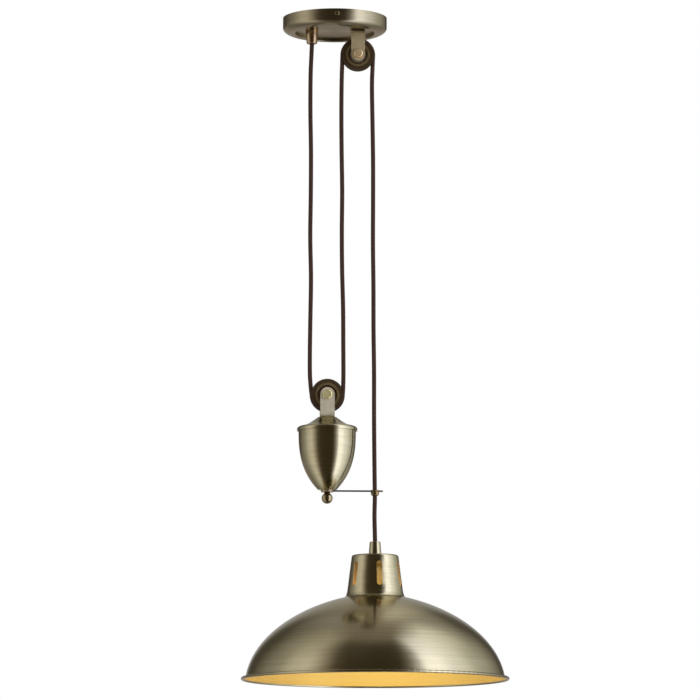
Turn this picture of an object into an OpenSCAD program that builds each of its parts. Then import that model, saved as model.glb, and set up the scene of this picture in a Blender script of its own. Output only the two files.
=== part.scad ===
// Rise and fall pendant: a spun dome shade on a braided flex that is reeved round
// two pulleys, with a filled counterweight that balances it at any height.
//
// Frame: the origin is the middle of the cup's top face, where it meets the ceiling.
// +Z is up, +X runs from the cord grip towards the ceiling pulley, and -Y is the front.

/* [Ceiling cup] */
// Outer radius of the cup
cup_r = 74.8; // [70:0.1:80]
// Height of the cup, from the ceiling to its lower ring
cup_h = 22.2; // [20:0.1:26]
// Sheet thickness of the cup
cup_wall = 1.2; // [0.8:0.1:1.6]
// How far the cup's rounded lower edge reaches in
cup_round_in = 14; // [12:0.5:16]
// How far the cup's rounded lower edge reaches up
cup_round_up = 8.3; // [6:0.1:10]
// Radius of the disc pressed into the cup's underside
recess_r = 56.8; // [49:0.1:57.2]
// Depth of that pressed disc
recess_d = 4.1; // [2:0.1:4.5]

/* [Mounting strap] */
// Width of the strap
strap_w = 18; // [16:0.5:24]
// Thickness of the strap
strap_t = 1.5; // [1.2:0.1:2]
// Length of the strap's turned-down tabs
tab_h = 11; // [10:0.5:13]
// Gap between a tab's corners and the cup's wall
tab_gap = 0.4; // [0.3:0.1:1]
// Distance between the two ceiling slots
slot_spacing = 60; // [50:1:80]
// Width of a ceiling slot
slot_w = 5; // [4.5:0.1:6]
// Length of a ceiling slot, end to end
slot_l = 12; // [10:0.5:16]

/* [Screws and terminals] */
// Shank radius of the cup's side screws
cup_screw_r = 2; // [1.5:0.1:2.5]
// Head radius of the cup's side screws
cup_screw_head_r = 3.4; // [2.8:0.1:4]
// Head height of the cup's side screws
cup_screw_head_h = 2; // [1.5:0.1:3]
// Distance of the side screws below the ceiling
cup_screw_down = 7.1; // [6:0.1:8]
// Shank radius of the earth screw
earth_screw_r = 2; // [1.5:0.1:2.5]
// Pitch of the three terminals
terminal_pitch = 10; // [9:0.5:11]
// Size of the terminal block along its wires
terminal_l = 17; // [15:0.5:20]
// Height of the terminal block
terminal_h = 11.5; // [11:0.1:13]
// Radius of a wire entry in the terminal block
terminal_entry_r = 2; // [1.8:0.1:2.2]

/* [Cord grips] */
// Radius of a grip at the end that seats
grip_base_r = 9.2; // [8.5:0.1:9.8]
// Radius of a grip at its tip
grip_tip_r = 7.7; // [7.2:0.1:8.3]
// Height of a grip
grip_h = 19; // [16:0.1:22]
// Radius of the hollow nipples
nipple_r = 5; // [4.5:0.1:5.5]
// Radius of the hole along a nipple
nipple_bore_r = 3.6; // [3.5:0.1:3.8]
// How far a nipple is screwed into its grip
nipple_in_grip = 9; // [7:0.5:12]
// Distance across the flats of a locknut
locknut_af = 14; // [13:0.5:17]
// Thickness of a locknut
locknut_h = 3; // [2.5:0.1:3.2]

/* [Cord] */
// Radius of the braided flex
flex_r = 3.1; // [2.7:0.05:3.2]
// Radius of one insulated core
core_r = 1.1; // [0.9:0.05:1.2]

/* [Pulleys] */
// Radius from a pulley's axis to the middle of the cord
cord_track_r = 22; // [21:0.1:23]
// Outer radius of a pulley's flanges
flange_r = 23.2; // [22.8:0.1:24]
// Half width of a pulley at its flanges
flange_half_w = 5; // [4.6:0.1:5.5]
// Radius of the raised ring on each face of a pulley
face_ring_r = 18; // [16.5:0.1:18.3]
// Inner radius of that raised ring
face_ring_in_r = 14; // [12.5:0.1:15]
// Height of that raised ring above the flange
face_ring_h = 1.2; // [0.6:0.1:1.6]
// Depth of the web between the ring and the hub, below the flange
web_d = 1.2; // [0.5:0.1:1.5]
// Radius of a pulley's hub
hub_r = 9; // [8:0.1:10]
// Half width of a pulley at its hub
hub_half_w = 8.6; // [8:0.1:9.5]
// Outer radius of a pulley's bush
bush_r = 5; // [4.5:0.1:6]
// Radius of a pulley's axle
axle_r = 3; // [2.5:0.1:3.5]
// Radius of an axle's cap nuts
axle_cap_r = 6.6; // [6:0.1:7]
// Height of an axle's cap nuts
axle_cap_h = 6.6; // [5:0.1:8]

/* [Ceiling fork] */
// Distance from the ceiling down to the ceiling pulley's axis
ceiling_axis_down = 53; // [51:0.5:55]
// Width of the ceiling fork
ceiling_fork_w = 19.7; // [18:0.1:21]
// Thickness of both forks
fork_t = 3; // [2:0.1:3.5]
// Outside radius of both forks' bends
fork_bend_r = 5; // [4:0.1:6]
// Shank radius of the fork's bolt
fork_bolt_r = 3; // [2.5:0.1:3.5]
// Distance across the flats of the fork bolt's nut
fork_nut_af = 10; // [9:0.5:12]
// Thickness of the fork bolt's nut
fork_nut_h = 5; // [4:0.1:6]

/* [Counterweight] */
// Vertical distance between the two pulleys' axes
weight_hang = 493; // [300:1:520]
// Sideways place of the counterweight's axis
weight_x = -10.7; // [-11:0.1:-10]
// Width of the weight's fork
weight_fork_w = 20.5; // [19:0.1:22]
// Distance from the weight's pulley axis down to the lid's flat top
fork_foot_down = 31.6; // [30.5:0.1:34]
// Radius of the lid's flat top
lid_top_r = 13.5; // [13.2:0.1:15]
// Fall of the lid from its flat top to its rounded edge
lid_fall = 12.5; // [11:0.1:14]
// How far the lid's rounded edge reaches in
lid_round_in = 7.5; // [6:0.1:8]
// How far the lid's rounded edge reaches down
lid_round_down = 4.3; // [3.5:0.1:5]
// Depth at which the casing's rim seats in the lid, below the start of the rounded edge
lid_seat = 2.5; // [2:0.1:3]
// Outer radius of the lid's turned-down lip
lid_lip_r = 43; // [42.7:0.1:43.5]
// Length of the lid's turned-down lip below that seat
lid_lip_h = 4.6; // [3.5:0.1:6]
// Sheet thickness of the lid and the casing
weight_wall = 1; // [0.8:0.1:1.2]
// Outer radius of the casing
casing_r = 40.9; // [39.5:0.1:41.2]
// How far below the casing's foot its curve would run on to a point
casing_tip = 6.5; // [6:0.5:11]
// Power along the casing's curve, higher for a fuller top
casing_power = 2.66; // [2.4:0.01:3]
// Power across the casing's curve, lower for a sharper foot
casing_side_power = 1.18; // [1.1:0.01:1.3]
// Depth of the casing from its rim to its flat foot
casing_h = 88.5; // [86:0.5:90]
// Depth of the casing's straight rim above its curve
casing_rim_h = 4; // [3.5:0.5:6]
// Gap round the ballast inside the casing
ballast_gap = 0.5; // [0.3:0.1:1]
// Distance of the ballast's top below the casing's rim
ballast_down = 3; // [2:0.5:30]
// Radius of the long tie screw
tie_r = 3; // [2.5:0.1:3.5]
// Radius of the tie screw's head
tie_head_r = 5.5; // [5:0.1:6.5]
// Height of the tie screw's head
tie_head_h = 2.3; // [2:0.1:2.6]
// Radius of the ball finial
finial_r = 7.9; // [7:0.1:8.4]
// Radius of the finial's neck
finial_neck_r = 4.2; // [4:0.1:4.6]
// Length of the finial's neck
finial_neck_h = 2; // [1:0.1:4]

/* [Guide arm] */
// Radius of the collar that holds the arm under the casing
arm_collar_r = 9; // [8:0.1:11]
// Height of that collar
arm_collar_h = 3.4; // [3:0.1:4]
// Radius of the arm's rod
arm_rod_r = 1.2; // [1:0.1:1.4]
// Sideways place of the guide ring
ring_x = 57.3; // [56.7:0.1:57.8]
// Outer radius of the guide ring's collar
ring_r = 6.4; // [5.9:0.1:6.8]
// Radius of the guide ring's bore
ring_bore_r = 4.2; // [4.1:0.1:4.4]
// Height of the guide ring's collar
ring_collar_h = 2.8; // [2.8:0.1:3.6]
// Height of the guide ring's bowl, below its collar
ring_bowl_h = 5; // [4:0.1:6]
// How far the pin on the ring's far side stands out
ring_pin_l = 5.2; // [3:0.1:6]

/* [Shade] */
// Vertical distance from the ceiling pulley's axis to the top of the shade's grip
shade_hang = 702; // [600:0.5:720]
// Sideways place of the shade's axis
shade_x = 57.4; // [56.7:0.1:57.8]
// Sheet thickness of the shade
shade_wall = 0.8; // [0.7:0.05:1.2]
// Radius of the neck's top edge, before it is rounded
neck_top_r = 33; // [31:0.1:35]
// How much wider the neck gets for each millimetre down
neck_taper = 0.129; // [0.1:0.001:0.15]
// Radius that rounds the neck's top edge
neck_round_r = 3.3; // [2.5:0.1:5]
// Height from the dome's base line up to the neck's top
neck_top_up = 193; // [188:0.5:200]
// Radius of the dome at its base line
dome_r = 185.3; // [180:0.1:188]
// Height of the dome above its base line
dome_h = 138.5; // [134:0.5:140]
// Power across the dome's curve
dome_side_power = 1.186; // [1.1:0.001:1.25]
// Power up the dome's curve
dome_up_power = 0.926; // [0.9:0.001:1]
// Angle on the dome's curve at which it leaves the neck
dome_start_angle = 17.5; // [16.5:0.1:19]
// Angle on the dome's curve at which the rim turns out
dome_end_angle = 83; // [81:0.1:84]
// Size of the fillet between the neck and the dome
shoulder_fillet = 11; // [6:0.5:13]
// Outer radius of the rolled rim
rim_r = 190.1; // [189:0.1:192]
// Radius of the rim's rolled bead
bead_r = 2.1; // [1.6:0.1:2.4]
// Width of a vent slot
vent_w = 8; // [6:0.1:9]
// Height of a vent slot
vent_h = 34.6; // [25:0.1:36]
// Distance of a vent slot's top below the neck's top
vent_down = 10.5; // [9:0.1:13]
// Number of vent slots
vent_count = 6; // [4:1:8]
// Angle of the first vent slot, to the right of the front
vent_turn = 7; // [0:1:30]

/* [Lampholder and bulb] */
// Radius of the washer under the shade's top
washer_r = 13; // [11:0.1:16]
// Thickness of that washer
washer_h = 1.2; // [1:0.1:2]
// Outer radius of the lampholder's body
holder_r = 20; // [19:0.1:21]
// Wall of the lampholder's cap and body
holder_wall = 1.6; // [1.2:0.1:2]
// Height of the lampholder's cap
holder_cap_h = 24; // [23:0.1:26]
// Height of the lampholder's body
holder_body_h = 27; // [26:0.1:29]
// Radius of the thread in the lampholder's screw shell
screw_shell_r = 13.6; // [13.5:0.05:13.8]
// Thickness of the screw shell
screw_shell_t = 0.6; // [0.5:0.05:0.8]
// Radius of the bulb's cap
bulb_cap_r = 13.1; // [12.9:0.05:13.2]
// Largest radius of the bulb's glass
bulb_r = 30; // [28:0.1:32]
// Length of the bulb from its contact to the end of its glass
bulb_l = 106; // [102:0.5:110]
// Length of the bulb's cap, contact included
bulb_cap_l = 27; // [26:0.5:28]

/* [Hidden] */

$fn = 96;
press_gap = 0.1;    // round a piece that is screwed or pressed into another
run_gap = 0.05;     // between an axle and the bush that turns on it
side_gap = 0.4;     // between a pulley's hub and its fork
cord_gap = 0.3;     // between the cord and the groove of a pulley that turns under it
grip_gap = 0.2;     // between the cord and a grip's bore
cut = 1;            // how far a cutting shape runs past what it cuts

BRASS = [0.60, 0.55, 0.40];
BRASS_PALE = [0.76, 0.71, 0.58];
BRASS_DARK = [0.32, 0.27, 0.18];
BRONZE = [0.50, 0.36, 0.20];
STEEL = [0.66, 0.67, 0.68];
IRON = [0.30, 0.30, 0.31];
PHENOLIC = [0.12, 0.11, 0.11];
PORCELAIN = [0.92, 0.91, 0.88];
FLEX_BROWN = [0.24, 0.16, 0.14];
GLASS_PEARL = [0.98, 0.95, 0.86, 0.9];

// Small sizes that nothing outside the fitting depends on
earth_in = 22;          // distance of the earth screw in from a tab
cup_screw_end = 1.5;    // how far a cup screw stands out behind its tab
terminal_screw_r = 1.6;
thread_end = 0.5;       // how far a nipple stands out of its nut
core_bend = 2.8;        // radius of a bend in a core
core_spread = 1.35;     // distance of a core from the middle of the flex
core_straight = 1;      // length of a core before it bends
holder_thread = 4;      // length of nipple inside the lampholder's cap
weight_lid_gap = 0.5;   // between the casing's rim and the lip round it
arm_socket_l = 1.3;     // depth of the hole in the ring that takes the rod
collar_r = 8.5;         // the narrow top of the lampholder's cap
collar_h = 8;
insert_floor_t = 3;
mouth_ring_h = 4;
holder_screw_x = 8;
holder_screw_r = 1.8;
screw_shell_h = 18.5;
tongue_h = 1;
contact_h = 1.5;
bulb_shoulder = 4;      // fall of the bulb cap's shoulder, under its contact
glass_neck_h = 11;      // length of the glass's straight neck
glass_leave = 28;       // angle at which the round belly begins

// Facets along the long curves
DOME_STEPS = 44;
CASING_STEPS = 28;
LID_STEPS = 14;
SIDES = 10;             // round a hanging run of the cord
STEPS = 2;              // rings for each point of a run

// Places worked out from the driving sizes. The ceiling grip and pulley stand one
// and a half cord tracks either side of the middle, so that the cord's falls line up.
tab_y = sqrt(pow(cup_r - cup_wall - tab_gap, 2) - pow(strap_w / 2, 2));
earth_y = tab_y - earth_in;
recess_z = -(cup_h - recess_d);
recess_in_z = recess_z + cup_wall;
grip_tip_z = recess_z - grip_h;
nipple_above = cup_wall + locknut_h + thread_end;
tail_top_z = recess_z + nipple_above;
core_exit_z = tail_top_z + core_straight + core_bend;
grip_x = -1.5 * cord_track_r;
ceiling_x = 1.5 * cord_track_r;
ceiling_axis_z = -ceiling_axis_down;
weight_axis_z = ceiling_axis_z - weight_hang;
lid_z = weight_axis_z - fork_foot_down;
casing_z = lid_z - lid_fall - lid_seat;
casing_foot_z = casing_z - casing_h;
casing_curve_l = casing_h + casing_tip;
arm_z = casing_foot_z - arm_collar_h / 2;
finial_z = casing_foot_z - arm_collar_h - finial_neck_h - finial_r * 0.86;
ring_top_z = arm_z + ring_collar_h / 2;
shade_grip_z = ceiling_axis_z - shade_hang;
neck_z = shade_grip_z - grip_h;
dome_z = neck_z - neck_top_up;
washer_z = neck_z - shade_wall;
shade_nut_z = washer_z - washer_h;
holder_z = shade_nut_z - locknut_h;
body_z = holder_z - holder_cap_h;
mouth_z = body_z - holder_body_h;
shade_tail_end_z = holder_z - holder_thread - core_straight;
insert_z = body_z - core_straight;
insert_top_z = insert_z + insert_floor_t;
contact_top_z = insert_z - tongue_h - cord_gap;
fork_half = hub_half_w + side_gap + fork_t;

// Points of an ellipse's arc, from one angle to another
function arc(c, rx, ry, from, to, steps) =
    [for (i = [0:steps]) let (a = from + (to - from) * i / steps)
        [c[0] + rx * cos(a), c[1] + ry * sin(a)]];

// Points of a curve from a to b that is pulled towards p
function curve(a, p, b, steps) =
    [for (i = [0:steps]) let (t = i / steps)
        (1 - t) * (1 - t) * a + 2 * t * (1 - t) * p + t * t * b];

function reversed(list) = [for (i = [len(list) - 1:-1:0]) list[i]];

// ---------------------------------------------------------------- shared shapes

module lathe(points) {
    rotate_extrude()
        polygon(points);
}

// A cylinder along Y, centred on the origin
module across(r, l) {
    rotate([90, 0, 0])
        cylinder(r = r, h = l, center = true);
}

module hexagon(af, h) {
    cylinder(r = af / 2 / cos(30), h = h, $fn = 6);
}

module locknut() {
    difference() {
        hexagon(locknut_af, locknut_h);
        translate([0, 0, -cut])
            cylinder(r = nipple_r + press_gap, h = locknut_h + 2 * cut);
    }
}

// A tapered grip that seats at z = 0 and points up
module grip() {
    edge = 0.8;
    difference() {
        lathe([
            [0, 0],
            [grip_base_r, 0],
            [grip_tip_r, grip_h - edge],
            [grip_tip_r - edge, grip_h],
            [0, grip_h],
        ]);
        translate([0, 0, -cut])
            cylinder(r = nipple_r + press_gap, h = nipple_in_grip + cut);
        translate([0, 0, -cut])
            cylinder(r = flex_r + grip_gap, h = grip_h + 2 * cut);
    }
}

// A nipple whose end inside the grip is at z = nipple_in_grip
module nipple(below) {
    difference() {
        translate([0, 0, -below])
            cylinder(r = nipple_r, h = below + nipple_in_grip);
        translate([0, 0, -below - cut])
            cylinder(r = nipple_bore_r, h = below + nipple_in_grip + 2 * cut);
    }
}

// The outline of a bent strap: a flat top with two rounded corners
module strap_outline(half, h, bend) {
    translate([-half, 0])
        square([2 * half, h - bend]);
    translate([-(half - bend), 0])
        square([2 * (half - bend), h]);
    for (side = [-1, 1])
        translate([side * (half - bend), h - bend])
            circle(r = bend);
}

// A fork with its flat top at z = 0 and its arms down, drilled for an axle
module fork(w, axis_down, foot_bore_r) {
    h = axis_down + w / 2;
    difference() {
        intersection() {
            rotate([90, 0, 90])
                translate([0, -h, -w / 2])
                    linear_extrude(height = w)
                        difference() {
                            strap_outline(fork_half, h, fork_bend_r);
                            translate([0, -cut])
                                strap_outline(fork_half - fork_t, h - fork_t + cut,
                                    fork_bend_r - fork_t);
                        }
            union() {
                translate([-w / 2, -fork_half - cut, -axis_down])
                    cube([w, 2 * (fork_half + cut), axis_down + cut]);
                translate([0, 0, -axis_down])
                    across(w / 2, 2 * (fork_half + cut));
            }
        }
        translate([0, 0, -axis_down])
            across(axle_r + press_gap, 2 * (fork_half + cut));
        translate([0, 0, -fork_t - cut])
            cylinder(r = foot_bore_r, h = fork_t + 2 * cut);
    }
}

// An axle's domed cap nut, seated at y = 0 and pointing along -Y
module cap_nut() {
    round_r = 2;
    thread_l = 3;
    rotate([90, 0, 0])
        difference() {
            lathe(concat(
                [[0, 0], [axle_cap_r, 0]],
                arc([axle_cap_r - round_r, axle_cap_h - round_r], round_r, round_r, 0, 90, 8),
                [[0, axle_cap_h]]
            ));
            translate([0, 0, -cut])
                cylinder(r = axle_r + press_gap, h = thread_l + cut);
        }
}

module axle_caps() {
    translate([0, -fork_half, 0])
        cap_nut();
    rotate([0, 0, 180])
        translate([0, -fork_half, 0])
            cap_nut();
}

module axle() {
    thread_l = 2.8;
    across(axle_r, 2 * (fork_half + thread_l));
}

// A grooved wheel with a raised ring on each face and a long hub
module pulley_wheel() {
    rotate([90, 0, 0])
        difference() {
            union() {
                cylinder(r = flange_r, h = 2 * flange_half_w, center = true);
                cylinder(r = face_ring_r, h = 2 * (flange_half_w + face_ring_h), center = true);
                cylinder(r = hub_r, h = 2 * hub_half_w, center = true);
            }
            rotate_extrude()
                translate([cord_track_r, 0])
                    circle(r = flex_r + cord_gap);
            for (side = [-1, 1])
                rotate([side > 0 ? 0 : 180, 0, 0])
                    translate([0, 0, flange_half_w - web_d])
                        difference() {
                            cylinder(r = face_ring_in_r, h = hub_half_w);
                            translate([0, 0, -cut])
                                cylinder(r = hub_r, h = hub_half_w + 2 * cut);
                        }
            cylinder(r = bush_r + press_gap, h = 2 * hub_half_w + 2 * cut, center = true);
        }
}

module pulley_bush() {
    rotate([90, 0, 0])
        difference() {
            cylinder(r = bush_r, h = 2 * hub_half_w, center = true);
            cylinder(r = axle_r + run_gap, h = 2 * hub_half_w + 2 * cut, center = true);
        }
}

// Half a turn of cord in a pulley's groove, over the top when side is 1
module half_wrap(side) {
    rotate([90, 0, 0])
        rotate([0, 0, side > 0 ? 0 : 180])
            rotate_extrude(angle = 180)
                translate([cord_track_r, 0])
                    circle(r = flex_r);
}

// ---------------------------------------------------------------- cord runs

// Points on the cord's three hanging falls, from the top down. They bow a little,
// as a braided flex does that was wound on a drum.
FIXED_RUN = [
    [-33, 0, -37], [-33.6, 0, -52], [-34.8, 0, -82], [-35.1, 0, -134],
    [-34.2, 0, -195], [-34.4, 0, -257], [-35.1, 0, -318], [-34, 0, -379],
    [-34.9, 0, -440], [-35.5, 0, -486], [-35.4, 0, -516], [-34, 0, -536],
    [-32.7, 0, -546],
];
RISING_RUN = [
    [11, 0, -53], [10.5, 0, -68], [9.7, 0, -98], [9.4, 0, -144],
    [9.8, 0, -195], [10.6, 0, -252], [10.1, 0, -308], [10.5, 0, -364],
    [11.9, 0, -420], [12.2, 0, -470], [12.4, 0, -511], [12.1, 0, -533],
    [11.3, 0, -546],
];
DROP_RUN = [
    [55, 0, -53], [54.4, 0, -68], [53.4, 0, -98], [54.1, 0, -149],
    [54.9, 0, -206], [54.9, 0, -267], [54.7, 0, -328], [55.3, 0, -389],
    [55.4, 0, -450], [56.1, 0, -511], [56.1, 0, -571], [56.4, 0, -622],
    [56.8, 0, -662], [57.1, 0, -692], [56.6, 0, -717], [57, 0, -740],
    [57.4, 0, -755],
];

// The route moved so that it starts at a and ends at b
function fitted(route, a, b) =
    let (last = len(route) - 1, fall = route[0][2] - route[last][2])
    [for (p = route) let (t = (route[0][2] - p[2]) / fall)
        [p[0] + (1 - t) * (a[0] - route[0][0]) + t * (b[0] - route[last][0]),
         p[1],
         a[2] + t * (b[2] - a[2])]];

// A point on a smooth curve through the route, u steps along it
function smooth(route, u) =
    let (
        last = len(route) - 1,
        i = min(floor(u), last - 1),
        t = u - i,
        p0 = route[max(i - 1, 0)],
        p1 = route[i],
        p2 = route[i + 1],
        p3 = route[min(i + 2, last)],
        m1 = (p2 - p0) / 2,
        m2 = (p3 - p1) / 2
    )
    (2 * t * t * t - 3 * t * t + 1) * p1 + (t * t * t - 2 * t * t + t) * m1
        + (3 * t * t - 2 * t * t * t) * p2 + (t * t * t - t * t) * m2;

// One tube swept along the route, with level ends
module swept(route, r) {
    last = (len(route) - 1) * STEPS;
    line = [for (k = [0:last]) smooth(route, k / STEPS)];
    rings = [for (k = [0:last], j = [0:SIDES - 1])
        let (
            d = k == 0 || k == last ? [0, 0, -1] : line[k + 1] - line[k - 1],
            lean = d[0] / d[2],
            a = 360 * j / SIDES
        )
        line[k] + r * [cos(a), sin(a), -lean * cos(a)]];
    walls = [for (k = [0:last - 1], j = [0:SIDES - 1])
        let (a = k * SIDES + j, b = k * SIDES + (j + 1) % SIDES)
        each [[a, b, a + SIDES], [b, b + SIDES, a + SIDES]]];
    top = [[for (j = [SIDES - 1:-1:0]) j]];
    bottom = [[for (j = [0:SIDES - 1]) last * SIDES + j]];
    polyhedron(points = rings, faces = concat(walls, top, bottom), convexity = 10);
}

// An insulated core: up, round a quarter bend and along, in the plane turned by angle
module bent_core(up, bend, along, angle) {
    rotate([0, 0, angle]) {
        cylinder(r = core_r, h = up, $fn = 24);
        translate([bend, 0, up])
            rotate([90, 0, 180])
                rotate_extrude(angle = 90, $fn = 24)
                    translate([bend, 0])
                        circle(r = core_r);
        translate([bend, 0, up + bend])
            rotate([0, 90, 0])
                cylinder(r = core_r, h = along, $fn = 24);
    }
}

// ---------------------------------------------------------------- ceiling group

module ceiling_cup() {
    side_z = -(cup_h - cup_round_up);
    flat_r = cup_r - cup_round_in;
    color(BRASS)
        difference() {
            lathe(concat(
                [[cup_r, 0]],
                arc([flat_r, side_z], cup_round_in, cup_round_up, 0, -90, 12),
                [
                    [recess_r + 0.8, -cup_h],
                    [recess_r, -cup_h + 0.8],
                    [recess_r, recess_z],
                    [0, recess_z],
                    [0, recess_in_z],
                    [recess_r + cup_wall, recess_in_z],
                    [recess_r + cup_wall, -cup_h + cup_wall],
                ],
                arc([flat_r, side_z], cup_round_in - cup_wall, cup_round_up - cup_wall,
                    -90, 0, 12),
                [[cup_r - cup_wall, 0]]
            ));
            translate([grip_x, 0, recess_z - cut])
                cylinder(r = nipple_r + press_gap, h = cup_wall + 2 * cut);
            translate([ceiling_x, 0, recess_z - cut])
                cylinder(r = fork_bolt_r + press_gap, h = cup_wall + 2 * cut);
            translate([0, 0, -cup_screw_down])
                across(cup_screw_r + press_gap, 2 * (cup_r + cut));
        }
}

module mounting_strap() {
    color(STEEL)
        difference() {
            union() {
                translate([-strap_w / 2, -tab_y, -strap_t])
                    cube([strap_w, 2 * tab_y, strap_t]);
                for (side = [-1, 1])
                    translate([-strap_w / 2, side * (tab_y - strap_t / 2) - strap_t / 2, -tab_h])
                        cube([strap_w, strap_t, tab_h - strap_t / 2]);
            }
            for (side = [-1, 1])
                translate([0, side * slot_spacing / 2, -strap_t - cut])
                    linear_extrude(height = strap_t + 2 * cut) {
                        square([slot_w, slot_l - slot_w], center = true);
                        for (end = [-1, 1])
                            translate([0, end * (slot_l - slot_w) / 2])
                                circle(r = slot_w / 2);
                    }
            translate([0, 0, -cup_screw_down])
                across(cup_screw_r + press_gap, 2 * (cup_r + cut));
            translate([0, earth_y, -strap_t - cut])
                cylinder(r = earth_screw_r + press_gap, h = strap_t + 2 * cut);
        }
}

module cup_screws() {
    shank_l = cup_r - tab_y + strap_t + cup_screw_end;
    color(BRASS)
        for (side = [-1, 1])
            rotate([0, 0, side > 0 ? 180 : 0])
                translate([0, -cup_r, -cup_screw_down])
                    rotate([90, 0, 0])
                        difference() {
                            union() {
                                translate([0, 0, -shank_l])
                                    cylinder(r = cup_screw_r, h = shank_l + cut);
                                lathe(concat(
                                    [[0, 0], [cup_screw_head_r, 0]],
                                    arc([cup_screw_head_r - 1, cup_screw_head_h - 1], 1, 1, 0, 90, 6),
                                    [[0, cup_screw_head_h]]
                                ));
                            }
                            translate([0, 0, cup_screw_head_h])
                                cube([0.9, 2 * cup_screw_head_r, 1.6], center = true);
                        }
}

module earth_screw() {
    head_r = 2 * earth_screw_r;
    head_h = 2;
    color(BRASS)
        translate([0, earth_y, -strap_t])
            difference() {
                union() {
                    cylinder(r = earth_screw_r, h = strap_t - press_gap);
                    translate([0, 0, -head_h])
                        cylinder(r = head_r, h = head_h);
                }
                translate([0, 0, -head_h])
                    cube([0.8, 2 * head_r + cut, 1.4], center = true);
            }
}

module terminal_block() {
    ways = 3;
    entry_z = core_exit_z;
    color(PORCELAIN)
        difference() {
            translate([-terminal_l / 2, -ways * terminal_pitch / 2, recess_in_z])
                cube([terminal_l, ways * terminal_pitch, terminal_h]);
            for (way = [-1:1]) {
                translate([0, way * terminal_pitch, entry_z])
                    rotate([0, 90, 0])
                        cylinder(r = terminal_entry_r, h = terminal_l + 2 * cut, center = true);
                for (side = [-1, 1])
                    translate([side * terminal_l / 4, way * terminal_pitch, entry_z])
                        cylinder(r = terminal_screw_r + press_gap, h = terminal_h);
            }
            // the two notches between the three ways
            for (way = [-0.5, 0.5])
                translate([-terminal_l / 2 - cut, way * terminal_pitch - 0.8,
                    recess_in_z + terminal_h - 3])
                    cube([terminal_l + 2 * cut, 1.6, 3 + cut]);
        }
}

module terminal_screws() {
    top_z = recess_in_z + terminal_h - 0.8;
    color(STEEL)
        for (way = [-1:1])
            for (side = [-1, 1])
                translate([side * terminal_l / 4, way * terminal_pitch,
                    core_exit_z + core_r + press_gap])
                    difference() {
                        cylinder(r = terminal_screw_r,
                            h = top_z - core_exit_z - core_r - press_gap, $fn = 32);
                        translate([0, 0, top_z - core_exit_z - core_r])
                            cube([0.6, 2 * terminal_screw_r + cut, 1.2], center = true);
                    }
}

module ceiling_grip() {
    color(BRASS)
        translate([grip_x, 0, recess_z])
            mirror([0, 0, 1])
                grip();
}

module ceiling_grip_nipple() {
    color(BRASS)
        translate([grip_x, 0, recess_z])
            mirror([0, 0, 1])
                nipple(nipple_above);
}

module ceiling_grip_nut() {
    color(BRASS)
        translate([grip_x, 0, recess_in_z])
            locknut();
}

module ceiling_fork() {
    color(BRASS_PALE)
        translate([ceiling_x, 0, recess_z])
            fork(ceiling_fork_w, ceiling_axis_down + recess_z, fork_bolt_r + press_gap);
}

module ceiling_fork_bolt() {
    head_r = 5;
    head_h = 2.6;
    shank_l = fork_t + cup_wall + fork_nut_h + 1;
    color(STEEL)
        translate([ceiling_x, 0, recess_z - fork_t]) {
            cylinder(r = fork_bolt_r, h = shank_l);
            translate([0, 0, -head_h])
                cylinder(r = head_r, h = head_h);
        }
}

module ceiling_fork_nut() {
    color(STEEL)
        translate([ceiling_x, 0, recess_in_z])
            difference() {
                hexagon(fork_nut_af, fork_nut_h);
                translate([0, 0, -cut])
                    cylinder(r = fork_bolt_r + press_gap, h = fork_nut_h + 2 * cut);
            }
}

module at_ceiling_axis() {
    translate([ceiling_x, 0, ceiling_axis_z])
        children();
}

module ceiling_axle() {
    color(STEEL)
        at_ceiling_axis()
            axle();
}

module ceiling_axle_caps() {
    color(BRASS_PALE)
        at_ceiling_axis()
            axle_caps();
}

module ceiling_pulley() {
    color(BRASS_DARK)
        at_ceiling_axis()
            pulley_wheel();
}

module ceiling_pulley_bush() {
    color(BRONZE)
        at_ceiling_axis()
            pulley_bush();
}

// ---------------------------------------------------------------- the flex

module flex_ceiling_tail() {
    color(FLEX_BROWN)
        translate([grip_x, 0, grip_tip_z])
            cylinder(r = flex_r, h = tail_top_z - grip_tip_z, $fn = SIDES * 4);
}

// Three cores from the end of the braid to the terminal block
module flex_ceiling_cores() {
    reach = -terminal_l / 2 + 2 - grip_x;
    for (way = [-1:1])
        color(way < 0 ? "saddlebrown" : way > 0 ? "royalblue" : "yellowgreen")
            translate([grip_x, way * core_spread, tail_top_z])
                bent_core(core_straight, core_bend,
                    norm([reach, way * (terminal_pitch - core_spread)]) - core_bend,
                    atan2(way * (terminal_pitch - core_spread), reach));
}

module flex_fixed_run() {
    color(FLEX_BROWN)
        swept(fitted(FIXED_RUN, [grip_x, 0, grip_tip_z],
            [weight_x - cord_track_r, 0, weight_axis_z]), flex_r);
}

module flex_weight_wrap() {
    color(FLEX_BROWN)
        at_weight_axis()
            half_wrap(-1);
}

module flex_rising_run() {
    color(FLEX_BROWN)
        swept(fitted(RISING_RUN, [ceiling_x - cord_track_r, 0, ceiling_axis_z],
            [weight_x + cord_track_r, 0, weight_axis_z]), flex_r);
}

module flex_ceiling_wrap() {
    color(FLEX_BROWN)
        at_ceiling_axis()
            half_wrap(1);
}

module flex_drop_run() {
    color(FLEX_BROWN)
        swept(fitted(DROP_RUN, [ceiling_x + cord_track_r, 0, ceiling_axis_z],
            [shade_x, 0, shade_grip_z]), flex_r);
}

module flex_shade_tail() {
    color(FLEX_BROWN)
        translate([shade_x, 0, shade_tail_end_z])
            cylinder(r = flex_r, h = shade_grip_z - shade_tail_end_z, $fn = SIDES * 4);
}

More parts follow.
